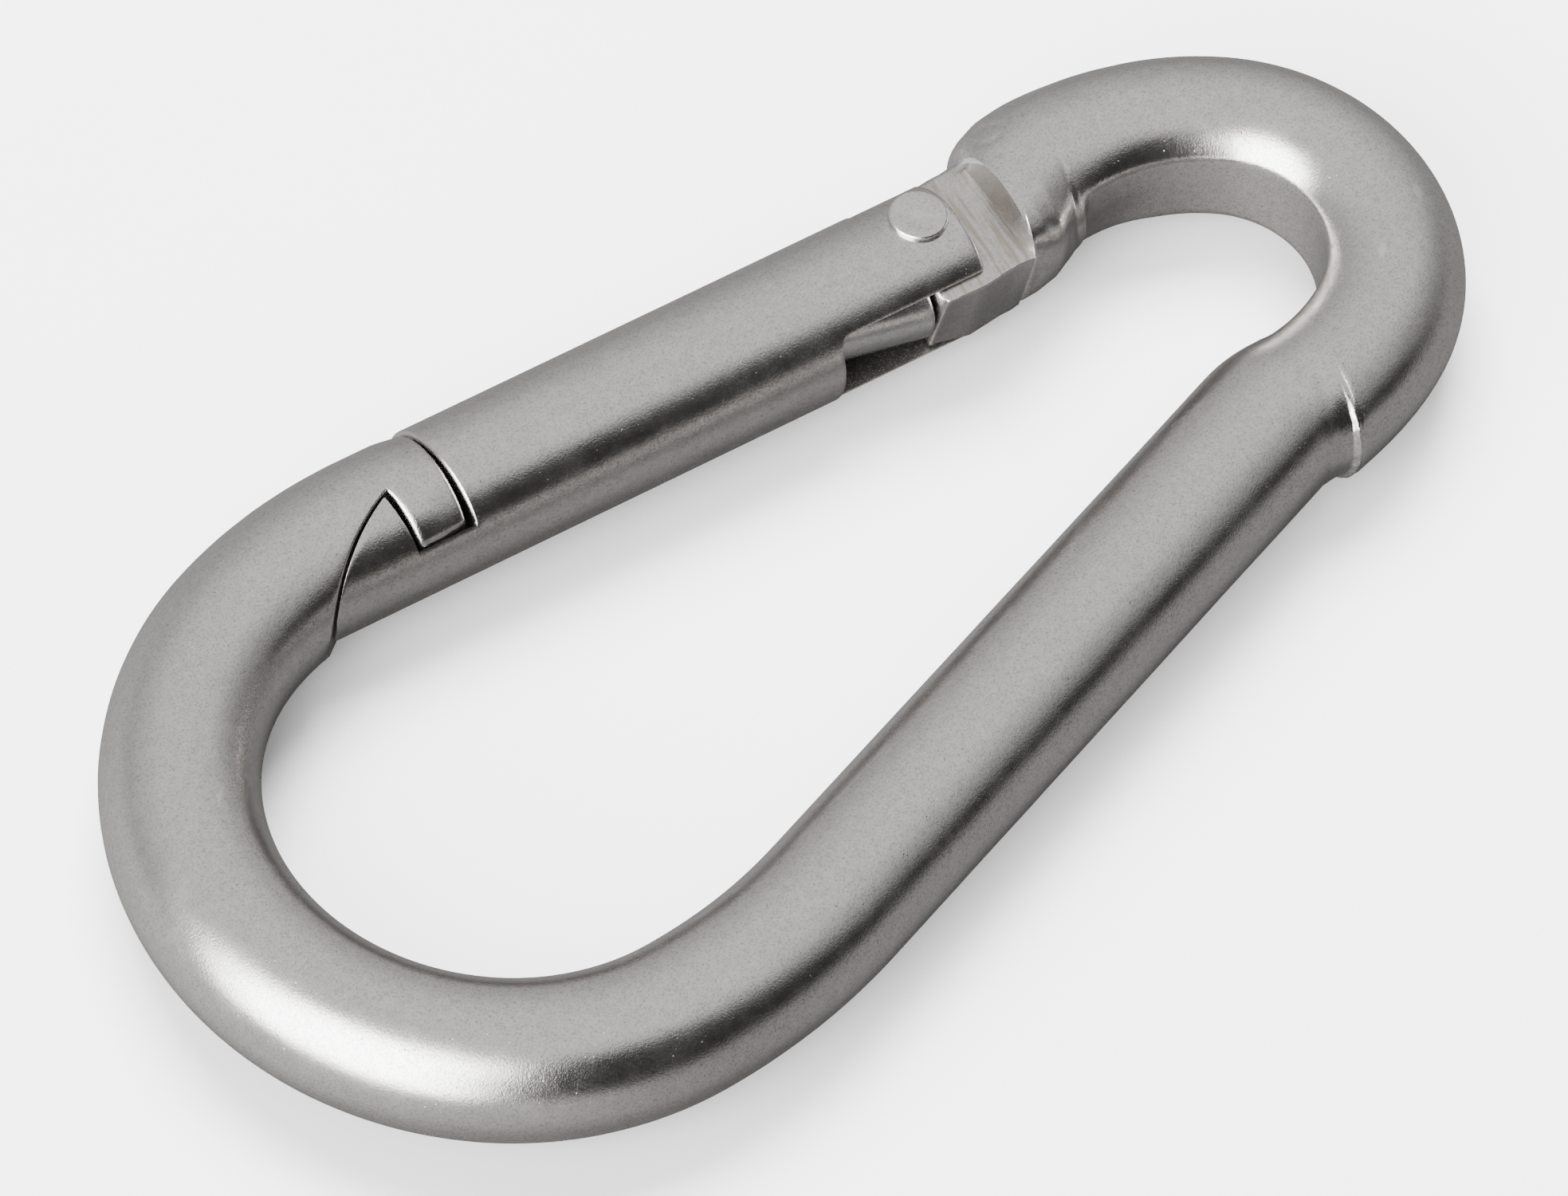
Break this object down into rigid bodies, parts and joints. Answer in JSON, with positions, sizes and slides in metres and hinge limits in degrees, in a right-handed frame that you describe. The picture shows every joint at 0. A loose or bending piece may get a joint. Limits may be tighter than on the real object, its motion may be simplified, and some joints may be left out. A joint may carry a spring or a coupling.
{
  "type": "spring snap hook",
  "caption": "Pear-shaped stainless carbine hook bent from round bar, with an inward-opening spring-loaded gate and a small attachment eye.",
  "frame": {"origin": "centre of the closed hook's bounding box, on the middle plane of the bar", "axes": "+X towards the small eye, +Y towards the gate's side, +Z square to the plane of the hook"},
  "size_m": [0.1, 0.0485, 0.0106],
  "materials": {
    "body_steel": "tumbled satin stainless steel",
    "gate_steel": "tumbled satin stainless steel",
    "rivet_steel": "peened and tumbled stainless steel",
    "plunger_steel": "plain stainless steel",
    "spring_steel": "drawn stainless spring wire"
  },
  "bodies": {
    "hook_body": {"body": "body_steel"},
    "gate_arm": {"gate": "gate_steel", "rivet": "rivet_steel", "spring": "spring_steel"},
    "plunger": {"plunger": "plunger_steel"}
  },
  "joints": [
    {"name": "gate_hinge", "type": "hinge", "parent": "hook_body", "child": "gate_arm", "pos_m": [0.02013, 0.01259, 0], "axis": [0, 0, 1], "range_deg": [0, 24], "stiffness_Nm_per_rad": 0.03, "springref_deg": -68.75},
    {"name": "plunger_slide", "type": "slide", "parent": "gate_arm", "child": "plunger", "axis": [-0.9844, 0.1759, 0], "range_m": [0, 0.00198], "deforming": ["spring"]}
  ],
  "couplings": [
    {"joint": "plunger_slide", "follows": "gate_hinge", "m_per_rad": 0.0047}
  ]
}
